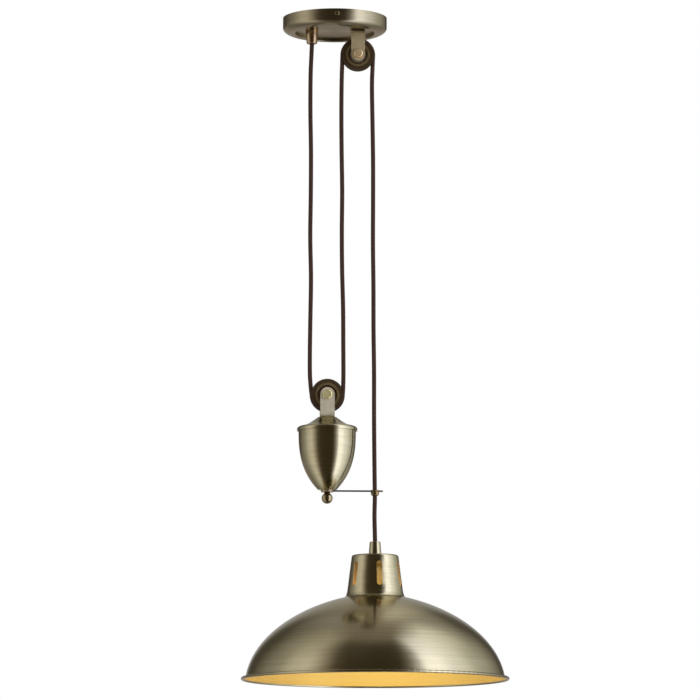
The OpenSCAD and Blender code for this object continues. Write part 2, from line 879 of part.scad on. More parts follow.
// Two cores from the end of the braid down and out to the lampholder's screws
module flex_shade_cores() {
    fall = shade_tail_end_z - insert_top_z - core_r - press_gap;
    for (side = [-1, 1])
        color(side < 0 ? "saddlebrown" : "royalblue")
            translate([shade_x + side * core_spread, 0, shade_tail_end_z])
                mirror([0, 0, 1])
                    bent_core(fall - core_bend, core_bend,
                        holder_screw_x - holder_screw_r - press_gap - core_spread - core_bend,
                        side > 0 ? 0 : 180);
}

// ---------------------------------------------------------------- counterweight

module at_weight_axis() {
    translate([weight_x, 0, weight_axis_z])
        children();
}

module weight_fork() {
    color(BRASS_PALE)
        translate([weight_x, 0, lid_z])
            mirror([0, 0, 1])
                fork(weight_fork_w, fork_foot_down, tie_r + press_gap);
}

module weight_axle() {
    color(STEEL)
        at_weight_axis()
            axle();
}

module weight_axle_caps() {
    color(BRASS_PALE)
        at_weight_axis()
            axle_caps();
}

module weight_pulley() {
    color(BRASS_DARK)
        at_weight_axis()
            pulley_wheel();
}

module weight_pulley_bush() {
    color(BRONZE)
        at_weight_axis()
            pulley_bush();
}

// A domed lid that falls in a hollow curve to a rounded, turned-down lip
module weight_lid() {
    round_c = [lid_lip_r - lid_round_in, -lid_fall - lid_round_down];
    hollow = [lid_lip_r * 0.68, -lid_fall * 0.95];
    seat_z = -lid_fall - lid_seat;
    lip_z = seat_z - lid_lip_h;
    inside_r = casing_r + weight_lid_gap;
    under_r = casing_r - 3;     // the seat's inner edge
    color(BRASS)
        translate([weight_x, 0, lid_z])
            difference() {
                lathe(concat(
                    [[0, 0]],
                    curve([lid_top_r, 0], hollow, round_c + [0, lid_round_down], LID_STEPS),
                    arc(round_c, lid_round_in, lid_round_down, 80, 0, 8),
                    [
                        [lid_lip_r, lip_z],
                        [inside_r, lip_z],
                        [inside_r, seat_z],
                        [under_r, seat_z],
                    ],
                    reversed(curve([lid_top_r - 1, -weight_wall * 1.2],
                        hollow - [1, weight_wall * 1.2], [under_r - 1, seat_z], LID_STEPS)),
                    [[0, -weight_wall * 1.2]]
                ));
                translate([0, 0, -weight_wall - cut])
                    cylinder(r = tie_r + press_gap, h = weight_wall + 2 * cut);
            }
}

// The casing's radius at a depth below its rim, drawn in by inset
function casing_radius(depth, inset) =
    let (t = max(depth - casing_rim_h, 0) / (casing_curve_l - inset))
    (casing_r - inset) * pow(1 - pow(t, casing_power), 1 / casing_side_power);

function casing_side(top, bottom, inset, steps) =
    [for (i = [0:steps]) let (depth = top + (bottom - top) * sin(90 * i / steps))
        [casing_radius(depth, inset), -depth]];

module weight_casing() {
    color(BRASS)
        translate([weight_x, 0, casing_z])
            difference() {
                lathe(concat(
                    casing_side(0, casing_h, 0, CASING_STEPS),
                    [[0, -casing_h], [0, -casing_h + weight_wall]],
                    reversed(casing_side(0, casing_h - weight_wall, weight_wall, CASING_STEPS))
                ));
                translate([0, 0, -casing_h - cut])
                    cylinder(r = tie_r + press_gap, h = weight_wall + 2 * cut);
            }
}

module weight_ballast() {
    inset = weight_wall + ballast_gap;
    color(IRON)
        translate([weight_x, 0, casing_z])
            difference() {
                lathe(concat(
                    [[0, -ballast_down]],
                    casing_side(ballast_down, casing_h - weight_wall, inset, CASING_STEPS),
                    [[0, -casing_h + weight_wall]]
                ));
                translate([0, 0, -casing_h])
                    cylinder(r = tie_r + ballast_gap, h = casing_h);
            }
}

module weight_tie_screw() {
    end_z = finial_z + finial_r * 0.2;
    top_z = lid_z + fork_t;
    color(STEEL)
        translate([weight_x, 0, 0]) {
            translate([0, 0, end_z])
                cylinder(r = tie_r, h = top_z - end_z);
            translate([0, 0, top_z])
                cylinder(r = tie_head_r, h = tie_head_h);
        }
}

module weight_finial() {
    top_z = casing_foot_z - arm_collar_h;
    color(BRASS)
        translate([weight_x, 0, 0])
            difference() {
                union() {
                    translate([0, 0, finial_z])
                        sphere(r = finial_r);
                    translate([0, 0, finial_z])
                        cylinder(r = finial_neck_r, h = top_z - finial_z);
                }
                translate([0, 0, finial_z])
                    cylinder(r = tie_r + press_gap, h = top_z - finial_z + cut);
            }
}

// A collar under the casing with a thin rod that reaches across to the ring
module guide_arm() {
    rod_end_x = ring_x - ring_r + arm_socket_l - press_gap;
    rod_from = tie_r + 2;
    color(BRASS_DARK)
        difference() {
            union() {
                translate([weight_x, 0, casing_foot_z - arm_collar_h])
                    cylinder(r = arm_collar_r, h = arm_collar_h);
                translate([weight_x + rod_from, 0, arm_z])
                    rotate([0, 90, 0])
                        cylinder(r = arm_rod_r, h = rod_end_x - weight_x - rod_from);
            }
            translate([weight_x, 0, casing_foot_z - arm_collar_h - cut])
                cylinder(r = tie_r + press_gap, h = arm_collar_h + 2 * cut);
        }
}

// A turned ring that the falling cord runs through
module guide_ring() {
    edge = 0.5;
    bowl_top_r = ring_r - edge;
    bowl_foot_r = ring_bore_r + edge;
    pin_from = ring_bore_r + edge;
    color(BRASS_DARK)
        difference() {
            union() {
                translate([ring_x, 0, ring_top_z])
                    lathe(concat(
                        [[0, 0], [ring_r - edge, 0], [ring_r, -edge], [ring_r, -ring_collar_h + edge],
                            [ring_r - edge, -ring_collar_h]],
                        arc([bowl_foot_r, -ring_collar_h], bowl_top_r - bowl_foot_r,
                            ring_bowl_h, 0, -90, 8),
                        [[0, -ring_collar_h - ring_bowl_h]]
                    ));
                translate([ring_x + pin_from, 0, arm_z])
                    rotate([0, 90, 0])
                        lathe(concat(
                            [[0, 0], [arm_rod_r, 0]],
                            arc([0, ring_r - pin_from + ring_pin_l - arm_rod_r],
                                arm_rod_r, arm_rod_r, 0, 90, 6)
                        ));
            }
            translate([ring_x, 0, ring_top_z - ring_collar_h - ring_bowl_h - cut])
                cylinder(r = ring_bore_r, h = ring_collar_h + ring_bowl_h + 2 * cut);
            translate([ring_x - ring_r - cut, 0, arm_z])
                rotate([0, 90, 0])
                    cylinder(r = arm_rod_r + press_gap, h = cut + arm_socket_l);
        }
}

// ---------------------------------------------------------------- shade

// A point on the dome's curve, drawn in by inset
function dome_point(t, inset) =
    [(dome_r - inset) * pow(sin(t), dome_side_power),
     (dome_h - inset) * pow(cos(t), dome_up_power)];

function neck_radius(z, inset) = neck_top_r + neck_taper * (neck_top_up - z) - inset;

// The shell's outline from the neck's top to the rim, drawn in by inset
function shell_side(inset) =
    let (
        lean = atan(neck_taper),
        top = neck_top_up - inset,
        round_r = neck_round_r - inset,
        round_c = [neck_radius(neck_top_up - neck_round_r, 0) - neck_round_r,
            neck_top_up - neck_round_r],
        join = dome_point(dome_start_angle, inset),
        corner_z = join[1] + 1,
        from_z = join[1] + shoulder_fillet
    )
    concat(
        arc(round_c, round_r, round_r, 90, lean, 8),
        curve([neck_radius(from_z, inset), from_z], [neck_radius(corner_z, inset), corner_z],
            join, 8),
        [for (i = [1:DOME_STEPS])
            dome_point(dome_start_angle + (dome_end_angle - dome_start_angle) * i / DOME_STEPS,
                inset)]
    );

module shade_shell() {
    turn_out = dome_point(dome_end_angle, 0);
    bead = [rim_r - bead_r, turn_out[1] - bead_r];
    vent_z = neck_top_up - vent_down;
    color(BRASS)
        translate([shade_x, 0, dome_z])
            difference() {
                union() {
                    lathe(concat(
                        [[0, neck_top_up]],
                        shell_side(0),
                        [
                            [bead[0], bead[1] + shade_wall / 2],
                            [bead[0], bead[1] - shade_wall / 2],
                        ],
                        [[turn_out[0] - shade_wall, turn_out[1] - 1.6]],
                        reversed(shell_side(shade_wall)),
                        [[0, neck_top_up - shade_wall]]
                    ));
                    rotate_extrude()
                        translate(bead)
                            circle(r = bead_r, $fn = 32);
                }
                translate([0, 0, neck_top_up - shade_wall - cut])
                    cylinder(r = nipple_r + press_gap, h = shade_wall + 2 * cut);
                for (i = [0:vent_count - 1])
                    rotate([0, 0, -90 + vent_turn + 360 * i / vent_count])
                        vent(vent_z);
            }
}

// A slot with round ends, cut outwards through the neck's wall
module vent(top_z) {
    from_r = neck_top_r / 2;
    reach = neck_top_r;
    translate([from_r, 0, 0]) {
        for (z = [top_z - vent_w / 2, top_z - vent_h + vent_w / 2])
            translate([0, 0, z])
                rotate([0, 90, 0])
                    cylinder(r = vent_w / 2, h = reach);
        translate([0, -vent_w / 2, top_z - vent_h + vent_w / 2])
            cube([reach, vent_w, vent_h - vent_w]);
    }
}

module at_shade_axis(z) {
    translate([shade_x, 0, z])
        children();
}

module shade_grip() {
    color(BRASS)
        at_shade_axis(neck_z)
            grip();
}

module shade_nipple() {
    color(BRASS)
        at_shade_axis(neck_z)
            nipple(shade_wall + washer_h + locknut_h + holder_thread);
}

module shade_washer() {
    color(STEEL)
        at_shade_axis(washer_z - washer_h)
            difference() {
                cylinder(r = washer_r, h = washer_h);
                translate([0, 0, -cut])
                    cylinder(r = nipple_r + press_gap, h = washer_h + 2 * cut);
            }
}

module shade_nut() {
    color(STEEL)
        at_shade_axis(holder_z)
            locknut();
}

// ---------------------------------------------------------------- lampholder

// The cap that screws onto the nipple, with a domed shoulder
module lampholder_cap() {
    inside = holder_r - holder_wall;
    color(BRASS)
        at_shade_axis(holder_z)
            difference() {
                lathe(concat(
                    [[0, 0], [collar_r, 0], [collar_r, -collar_h]],
                    arc([collar_r + 1, -collar_h - 9], holder_r - collar_r - 1, 8, 90, 0, 8),
                    [[holder_r, -holder_cap_h], [inside, -holder_cap_h]],
                    arc([collar_r, -collar_h - 9], inside - collar_r, 6.5, 0, 90, 8),
                    [[0, -collar_h - 2.5]]
                ));
                translate([0, 0, -collar_h - 3])
                    cylinder(r = nipple_r + press_gap, h = collar_h + 3 + cut);
            }
}

// The skirt that screws into the cap and holds the insert
module lampholder_body() {
    inside = holder_r - holder_wall;
    mouth_r = bulb_cap_r + 3;
    groove = 0.8;
    rings = 4;
    color(BRASS)
        at_shade_axis(body_z)
            difference() {
                lathe([
                    [inside, 0],
                    [holder_r, 0],
                    [holder_r, -holder_body_h + 2],
                    [holder_r - 2, -holder_body_h],
                    [mouth_r, -holder_body_h],
                    [mouth_r, -holder_body_h + mouth_ring_h],
                    [inside, -holder_body_h + mouth_ring_h],
                ]);
                for (i = [1:rings])
                    translate([0, 0, -4.5 * i])
                        rotate_extrude()
                            translate([holder_r, 0])
                                square([2 * groove, 1.6], center = true);
            }
}

// The moulded core that carries the contacts
module lampholder_insert() {
    outer = holder_r - holder_wall - grip_gap;
    depth = insert_z - body_z + holder_body_h - mouth_ring_h;
    color(PHENOLIC)
        at_shade_axis(insert_z)
            difference() {
                translate([0, 0, -depth])
                    cylinder(r = outer, h = depth + insert_floor_t);
                translate([0, 0, -depth - cut])
                    cylinder(r = screw_shell_r + screw_shell_t + press_gap, h = depth + cut);
            }
}

module lampholder_screw_shell() {
    color(BRASS)
        at_shade_axis(insert_z - screw_shell_h)
            difference() {
                cylinder(r = screw_shell_r + screw_shell_t, h = screw_shell_h);
                translate([0, 0, -cut])
                    cylinder(r = screw_shell_r, h = screw_shell_h + 2 * cut);
            }
}

module centre_contact() {
    tongue_r = 4;
    color(BRASS)
        at_shade_axis(insert_z - tongue_h)
            cylinder(r = tongue_r, h = tongue_h);
}

module lampholder_screws() {
    color(STEEL)
        for (side = [-1, 1])
            at_shade_axis(insert_top_z)
                translate([side * holder_screw_x, 0, 0])
                    cylinder(r = holder_screw_r, h = 3, $fn = 32);
}

// ---------------------------------------------------------------- bulb

module bulb_contact() {
    color(STEEL)
        at_shade_axis(contact_top_z - contact_h)
            cylinder(r = 4.5, h = contact_h);
}

// The bulb's hollow screw cap, its round thread shown as five rings
module bulb_cap() {
    turns = 5;
    pitch = 3.6;
    thread_top = -contact_h - bulb_shoulder;
    bore_r = bulb_cap_r - 2;
    color(STEEL)
        at_shade_axis(contact_top_z)
            lathe(concat(
                [[0, -contact_h], [5.5, -contact_h], [bulb_cap_r - 1.2, thread_top]],
                [for (i = [0:turns - 1])
                    each arc([bulb_cap_r - 0.9, thread_top - pitch * (i + 0.5)],
                        0.9, pitch * 0.42, 90, -90, 4)],
                [
                    [bulb_cap_r - 0.9, thread_top - pitch * turns - 1],
                    [bulb_cap_r - 0.6, -bulb_cap_l],
                    [bore_r, -bulb_cap_l],
                    [bore_r, thread_top - 1],
                    [5, -contact_h - 1],
                    [0, -contact_h - 1],
                ]
            ));
}

// The glass's outline from its neck to its crown, drawn in by inset
function glass_side(inset) =
    let (
        neck_r = bulb_cap_r - 0.8 - inset,
        neck_end = -bulb_cap_l - glass_neck_h,
        belly_z = -(bulb_l - bulb_r),
        r = bulb_r - inset
    )
    concat(
        [[neck_r, -bulb_cap_l]],
        curve([neck_r + 0.6, neck_end], [neck_r + 3, (neck_end + belly_z) / 2],
            [r * cos(glass_leave), belly_z + r * sin(glass_leave)], 10),
        arc([0, belly_z], r, r, glass_leave - 4, -90, 20)
    );

module bulb_glass() {
    glass_t = 0.8;
    color(GLASS_PEARL)
        at_shade_axis(contact_top_z)
            lathe(concat(glass_side(0), reversed(glass_side(glass_t))));
}

mounting_strap();
ceiling_cup();
cup_screws();
earth_screw();
terminal_block();
terminal_screws();
ceiling_grip();
ceiling_grip_nipple();
ceiling_grip_nut();
ceiling_fork();
ceiling_fork_bolt();
ceiling_fork_nut();
ceiling_axle();
ceiling_axle_caps();
ceiling_pulley();
ceiling_pulley_bush();
flex_ceiling_tail();
flex_ceiling_cores();
flex_fixed_run();
flex_weight_wrap();
flex_rising_run();
flex_ceiling_wrap();
flex_drop_run();
flex_shade_tail();
flex_shade_cores();
weight_fork();
weight_axle();
weight_axle_caps();
weight_pulley();
weight_pulley_bush();
weight_lid();
weight_casing();
weight_ballast();
weight_tie_screw();
weight_finial();
guide_arm();
guide_ring();
shade_shell();
shade_grip();
shade_nipple();
shade_washer();
shade_nut();
lampholder_cap();
lampholder_body();
lampholder_insert();
lampholder_screw_shell();
centre_contact();
lampholder_screws();
bulb_glass();
bulb_cap();
bulb_contact();
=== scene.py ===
"""Looks for the rise and fall pendant: camera, flex, metals, glass and a small studio.

Everything is in metres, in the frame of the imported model: +Z up, -Y the front, the
origin where the fitting meets the ceiling.
"""
import math

import bmesh
import bpy
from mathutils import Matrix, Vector


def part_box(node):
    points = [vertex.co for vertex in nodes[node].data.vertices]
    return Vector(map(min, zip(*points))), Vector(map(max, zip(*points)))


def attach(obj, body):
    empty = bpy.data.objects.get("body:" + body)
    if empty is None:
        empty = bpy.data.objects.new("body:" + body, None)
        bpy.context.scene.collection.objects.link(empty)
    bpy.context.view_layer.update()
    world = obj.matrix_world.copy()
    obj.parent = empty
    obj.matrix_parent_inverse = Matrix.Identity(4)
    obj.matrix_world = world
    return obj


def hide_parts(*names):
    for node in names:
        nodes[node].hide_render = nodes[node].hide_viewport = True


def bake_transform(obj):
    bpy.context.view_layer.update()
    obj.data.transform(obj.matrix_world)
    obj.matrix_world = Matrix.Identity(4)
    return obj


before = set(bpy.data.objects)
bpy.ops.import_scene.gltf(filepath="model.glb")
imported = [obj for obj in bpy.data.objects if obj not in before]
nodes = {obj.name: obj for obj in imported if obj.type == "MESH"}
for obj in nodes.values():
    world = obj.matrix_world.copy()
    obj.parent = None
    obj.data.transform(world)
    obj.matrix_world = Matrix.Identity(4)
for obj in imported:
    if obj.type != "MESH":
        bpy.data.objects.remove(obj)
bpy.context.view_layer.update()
scene = bpy.context.scene

MM = 0.001


# ---------------------------------------------------------------- camera

PHOTO_SIDE = 700          # the photograph's side, in pixels
FOCAL_PIXELS = 4720       # its focal length, in pixels
HORIZON_ROW = 968         # the row that is level with the lens
AXIS_COLUMN = 334.6       # the column of the ceiling cup's axis
CAMERA_DISTANCE = 6.674   # from that axis
CAMERA_Z = -1.3547
CAMERA_AZIMUTH = -2.5     # degrees, negative towards -X
CAMERA_REACH = 100
SENSOR_WIDTH = 36         # in millimetres, as the lens that follows from it


def make_camera():
    """The camera, where the photograph was taken from."""
    data = bpy.data.cameras.new("camera")
    data.sensor_width = SENSOR_WIDTH
    data.lens = FOCAL_PIXELS / PHOTO_SIDE * data.sensor_width
    data.clip_end = CAMERA_REACH
    camera = bpy.data.objects.new("camera", data)
    scene.collection.objects.link(camera)
    turn = math.radians(CAMERA_AZIMUTH)
    camera.location = (
        CAMERA_DISTANCE * math.sin(turn), -CAMERA_DISTANCE * math.cos(turn), CAMERA_Z)
    half = PHOTO_SIDE / 2
    pitch = math.atan((HORIZON_ROW - half) / FOCAL_PIXELS)
    aside = math.atan((half - AXIS_COLUMN) / FOCAL_PIXELS)
    camera.rotation_euler = (math.pi / 2 + pitch, 0, turn - aside)
    scene.camera = camera


make_camera()


# ---------------------------------------------------------------- places of CAD nodes


def box_middle(name):
    """The middle of a CAD node's box."""
    low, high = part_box(name)
    return (low + high) / 2


def wheel_centre(axle):
    """The x and z of the wheel that turns on an axle."""
    middle = box_middle(axle)
    return middle.x, middle.z


CEILING_PULLEY = wheel_centre("ceiling_axle")
WEIGHT_PULLEY = wheel_centre("weight_axle")
GRIP_X = box_middle("ceiling_grip").x
WEIGHT_X = box_middle("weight_casing").x
SHADE_X = box_middle("shade_grip").x

RING_LOW, RING_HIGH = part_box("guide_ring")

FINIAL_LOW, FINIAL_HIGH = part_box("weight_finial")
FINIAL_Z = FINIAL_LOW.z + (FINIAL_HIGH.x - FINIAL_LOW.x) / 2   # the ball's centre

SHADE_LOW, SHADE_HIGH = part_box("shade_shell")
RIM_R = (SHADE_HIGH.x - SHADE_LOW.x) / 2
BEAD_R = 2.1 * MM                      # the rolled rim's own radius
BEAD_Z = SHADE_LOW.z + BEAD_R
WALL_R = RIM_R - 2.1 * BEAD_R          # where the dome's wall meets the bead
NECK_Z = SHADE_HIGH.z - 54 * MM        # where the dome leaves the neck


# ---------------------------------------------------------------- the flex

FLEX_R = 3.1 * MM
TRACK_R = 22 * MM      # of the flex's middle line on both pulleys
SIDES = 28             # corners round the tube
RING_STEP = 0.0016     # length of tube between two rings of corners
SPAN_POINTS = 24       # points drawn from each point of a route to the next
WRAP_STEPS = 44        # steps in the half turn on a pulley

# The flex's hanging falls, as the CAD source has them, in metres
FIXED_RUN = [
    (-0.033, 0, -0.0371), (-0.0336, 0, -0.052), (-0.0348, 0, -0.082), (-0.0351, 0, -0.134),
    (-0.0342, 0, -0.195), (-0.0344, 0, -0.257), (-0.0351, 0, -0.318), (-0.034, 0, -0.379),
    (-0.0349, 0, -0.440), (-0.0355, 0, -0.486), (-0.0354, 0, -0.516), (-0.034, 0, -0.536),
    (-0.0327, 0, -0.546),
]
RISING_RUN = [
    (0.011, 0, -0.053), (0.0105, 0, -0.068), (0.0097, 0, -0.098), (0.0094, 0, -0.144),
    (0.0098, 0, -0.195), (0.0106, 0, -0.252), (0.0101, 0, -0.308), (0.0105, 0, -0.364),
    (0.0119, 0, -0.420), (0.0122, 0, -0.470), (0.0124, 0, -0.511), (0.0121, 0, -0.533),
    (0.0113, 0, -0.546),
]
DROP_RUN = [
    (0.055, 0, -0.053), (0.0544, 0, -0.068), (0.0534, 0, -0.098), (0.0541, 0, -0.149),
    (0.0549, 0, -0.206), (0.0549, 0, -0.267), (0.0547, 0, -0.328), (0.0553, 0, -0.389),
    (0.0554, 0, -0.450), (0.0561, 0, -0.511), (0.0561, 0, -0.571), (0.0564, 0, -0.622),
    (0.0568, 0, -0.662), (0.0571, 0, -0.692), (0.0566, 0, -0.717), (0.057, 0, -0.740),
    (0.0574, 0, -0.755),
]

# The falling run is cut twice, so that it stays in the middle of the guide ring as that moves
# along it: the first cut keeps just above the ring, and the second always hangs still.
HELD_Z = RING_HIGH.z + 13 * MM
STILL_Z = RING_LOW.z - 17 * MM


def smooth_route(route):
    """Points of a smooth curve through the route, as the CAD source draws it."""
    points = [Vector(p) for p in route]
    last = len(points) - 1
    line = []
    for i in range(last):
        before, start = points[max(i - 1, 0)], points[i]
        end, after = points[i + 1], points[min(i + 2, last)]
        m1, m2 = (end - before) / 2, (after - start) / 2
        for k in range(SPAN_POINTS):
            t = k / SPAN_POINTS
            line.append(
                (2 * t**3 - 3 * t**2 + 1) * start + (t**3 - 2 * t**2 + t) * m1
                + (3 * t**2 - 2 * t**3) * end + (t**3 - t**2) * m2)
    line.append(points[-1])
    return line


def even_points(line, step):
    """The same line with points about a step apart, its two ends kept."""
    lengths = [0.0]
    for a, b in zip(line, line[1:]):
        lengths.append(lengths[-1] + (b - a).length)
    count = max(2, round(lengths[-1] / step))
    result, i = [], 0
    for k in range(count + 1):
        want = lengths[-1] * k / count
        while i < len(line) - 2 and lengths[i + 1] < want:
            i += 1
        span = lengths[i + 1] - lengths[i]
        result.append(line[i].lerp(line[i + 1], (want - lengths[i]) / span))
    return result


def half_circle(centre, side):
    """From the left to the right of a pulley, over its top when side is 1."""
    turns = [math.pi * k / WRAP_STEPS for k in range(WRAP_STEPS + 1)]
    return [
        Vector((centre[0] - TRACK_R * math.cos(a), 0, centre[1] + side * TRACK_R * math.sin(a)))
        for a in turns]


def cut_line(line, height):
    """The part of a falling line above a height and the part below it, which share a point."""
    i = next(i for i, p in enumerate(line) if p.z < height)
    share = (line[i - 1].z - height) / (line[i - 1].z - line[i].z)
    point = line[i - 1].lerp(line[i], share)
    return line[:i] + [point], [point] + line[i:]


def tube(name, line, start):
    """A closed tube along a line in the XZ plane, and how far along the flex it ends.

    Its attribute "braid" says where each point is on the flex: its direction round the
    middle line, as a cosine and a sine, and its distance along it, which begins at start."""
    mesh = bpy.data.meshes.new(name)
    verts, faces, braid = [], [], []
    travelled = start
    last = len(line) - 1
    for i, p in enumerate(line):
        along = (line[min(i + 1, last)] - line[max(i - 1, 0)]).normalized()
        across = Vector((along.z, 0, -along.x))
        if i:
            travelled += (p - line[i - 1]).length
        for j in range(SIDES):
            a = 2 * math.pi * j / SIDES
            out = across * math.cos(a) + Vector((0, 1, 0)) * math.sin(a)
            verts.append(p + out * FLEX_R)
            braid.append((math.cos(a), math.sin(a), travelled))
    for i in range(last):
        for j in range(SIDES):
            a, b = i * SIDES + j, i * SIDES + (j + 1) % SIDES
            faces.append((a, b, b + SIDES, a + SIDES))
    faces.append(tuple(reversed(range(SIDES))))
    faces.append(tuple(last * SIDES + j for j in range(SIDES)))
    mesh.from_pydata(verts, [], faces)
    mesh.update()
    bm = bmesh.new()
    bm.from_mesh(mesh)
    bmesh.ops.recalc_face_normals(bm, faces=bm.faces)
    bm.to_mesh(mesh)
    bm.free()
    attribute = mesh.attributes.new("braid", "FLOAT_VECTOR", "POINT")
    for value, place in zip(attribute.data, braid):
        value.vector = place
    mesh.polygons.foreach_set("use_smooth", [len(f.vertices) == 4 for f in mesh.polygons])
    piece = bpy.data.objects.new(name, mesh)
    scene.collection.objects.link(piece)
    return piece, travelled


def make_flex():
    """The flex as seven pieces that meet end to end."""
    made = []
    weight_wrap = half_circle(WEIGHT_PULLEY, -1)
    ceiling_wrap = half_circle(CEILING_PULLEY, 1)
    upper, lower = cut_line(smooth_route(DROP_RUN), HELD_Z)
    middle, lower = cut_line(lower, STILL_Z)
    routes = [
        ("fixed_flex", smooth_route(FIXED_RUN), "flex_fixed_run"),
        ("weight_flex_loop", weight_wrap, "flex_weight_wrap"),
        ("rising_flex", list(reversed(smooth_route(RISING_RUN))), "flex_rising_run"),
        ("ceiling_flex_loop", ceiling_wrap, "flex_ceiling_wrap"),
        ("dropping_flex", upper, "flex_drop_run"),
        ("guided_flex", middle, "flex_drop_run"),
        ("shade_flex", lower, "flex_drop_run"),
    ]
    travelled = 0.0
    for name, route, replaced in routes:
        line = even_points(route, RING_STEP)
        piece, travelled = tube(name, line, travelled)
        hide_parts(replaced)
        made.append((piece, line))
    pieces = [piece for piece, line in made]
    fixed, low_loop, rising, high_loop, dropping, guided, to_shade = pieces
    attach(low_loop, "counterweight")
    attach(high_loop, "ceiling")
    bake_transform(fixed)
    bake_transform(rising)
    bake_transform(dropping)
    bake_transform(guided)
    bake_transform(to_shade)
    return pieces


flex_pieces = make_flex()


# ---------------------------------------------------------------- shader nodes

NOISE_SPAN = (0.3, 0.7)      # nearly all of a noise's values lie in it
CLOUD_SPAN = (0.35, 0.65)    # narrower spans, which give a noise more contrast
STREAK_SPAN = (0.36, 0.64)


def new_material(name):
    """A material with its tree and its shader."""
    material = bpy.data.materials.new(name)
    material.use_nodes = True
    tree = material.node_tree
    return material, tree, tree.nodes["Principled BSDF"]


def set_inputs(tree, made, inputs):
    """Link each of a node's inputs that is given a socket, and set the value of the others."""
    for key, value in inputs.items():
        if isinstance(value, bpy.types.NodeSocket):
            tree.links.new(value, made.inputs[key])
        else:
            made.inputs[key].default_value = value


def add_node(tree, kind, inputs, **settings):
    """A new shader node with its settings and inputs."""
    made = tree.nodes.new(kind)
    for key, value in settings.items():
        setattr(made, key, value)
    set_inputs(tree, made, inputs)
    return made


def maths(tree, operation, a, b=0.0):
    """The result of an operation on one or two numbers."""
    return add_node(tree, "ShaderNodeMath", {0: a, 1: b}, operation=operation).outputs[0]


# A mix node's colours and vectors share their names with other sockets, so these two
# functions take them by number.


def mix_colour(tree, factor, a, b):
    """Colour a where the factor is 0, and b where it is 1."""
    return add_node(
        tree, "ShaderNodeMix", {0: factor, 6: a, 7: b}, data_type="RGBA").outputs[2]


def mix_vector(tree, factor, a, b):
    """Vector a where the factor is 0, and b where it is 1."""
    return add_node(
        tree, "ShaderNodeMix", {0: factor, 4: a, 5: b}, data_type="VECTOR").outputs[1]


def map_range(tree, value, low, high, to_low, to_high):
    """The value's place between low and high, carried over to another span and kept in it."""
    return add_node(
        tree, "ShaderNodeMapRange",
        {0: value, 1: low, 2: high, 3: to_low, 4: to_high}).outputs[0]


def fade(tree, value, start, end):
    """0 at the start and before it, 1 at the end and past it, and a slope between them."""
    return map_range(tree, value, start, end, 0.0, 1.0)


def join_xyz(tree, x, y, z):
    """A vector of three numbers."""
    return add_node(tree, "ShaderNodeCombineXYZ", {"X": x, "Y": y, "Z": z}).outputs[0]


def split_xyz(tree, vector):
    """The outputs X, Y and Z of a vector."""
    return add_node(tree, "ShaderNodeSeparateXYZ", {0: vector}).outputs


def position(tree):
    """Where the point is in its object's frame, which is the model's for all but the tent."""
    return add_node(tree, "ShaderNodeTexCoord", {}).outputs["Object"]


def turned_place(tree, axis_x, axis_z=None):
    """Direction round an axis as a unit vector, the distance from it and the place along it.

    The axis is upright at x = axis_x, or lies along Y through axis_x and axis_z."""
    xyz = split_xyz(tree, position(tree))
    x = maths(tree, "SUBTRACT", xyz["X"], axis_x)
    if axis_z is None:
        y, along = xyz["Y"], xyz["Z"]
    else:
        y, along = maths(tree, "SUBTRACT", xyz["Z"], axis_z), xyz["Y"]
    r = maths(tree, "SQRT", maths(
        tree, "ADD", maths(tree, "MULTIPLY", x, x), maths(tree, "MULTIPLY", y, y)))
    divisor = maths(tree, "MAXIMUM", r, 1e-5)
    return maths(tree, "DIVIDE", x, divisor), maths(tree, "DIVIDE", y, divisor), r, along


def streaks(tree, place, sign, per_turn=1.6, per_metre=900.0):
    """Fine brushing that runs round the axis: noise drawn out along the turning direction.

    The sign is -1 for a form that mostly falls outwards, which keeps its streaks fine."""
    ux, uy, r, along = place
    across = maths(tree, "ADD", along, maths(tree, "MULTIPLY", r, sign))
    vector = join_xyz(
        tree, maths(tree, "MULTIPLY", ux, per_turn), maths(tree, "MULTIPLY", uy, per_turn),
        maths(tree, "MULTIPLY", across, per_metre))
    return add_node(
        tree, "ShaderNodeTexNoise",
        {"Vector": vector, "Scale": 1.0, "Detail": 4.0, "Roughness": 0.62}).outputs["Fac"]


def cloud(tree, scale):
    """Noise that is alike in all directions."""
    return add_node(
        tree, "ShaderNodeTexNoise",
        {"Vector": position(tree), "Scale": scale, "Detail": 3.0}).outputs["Fac"]


def vary(tree, noise, middle, less, more):
    """A roughness that the noise takes below the given one and above it."""
    return map_range(tree, noise, *NOISE_SPAN, middle - less, middle + more)


def bump(tree, shader, height, strength, distance, normal=None):
    """Bumps on the shader's own normal or on a given one."""
    made = add_node(
        tree, "ShaderNodeBump",
        {"Height": height, "Strength": strength, "Distance": distance})
    if normal:
        tree.links.new(normal, made.inputs["Normal"])
    tree.links.new(made.outputs[0], shader.inputs["Normal"])


def round_normal(tree, place, round_r, round_z):
    """The true normal of a bead, or of a ball where round_r is 0, without its facets."""
    ux, uy, r, along = place
    out = maths(tree, "SUBTRACT", r, round_r)
    vector = join_xyz(
        tree, maths(tree, "MULTIPLY", ux, out), maths(tree, "MULTIPLY", uy, out),
        maths(tree, "SUBTRACT", along, round_z))
    return add_node(
        tree, "ShaderNodeVectorMath", {0: vector}, operation="NORMALIZE").outputs[0]


# ---------------------------------------------------------------- materials

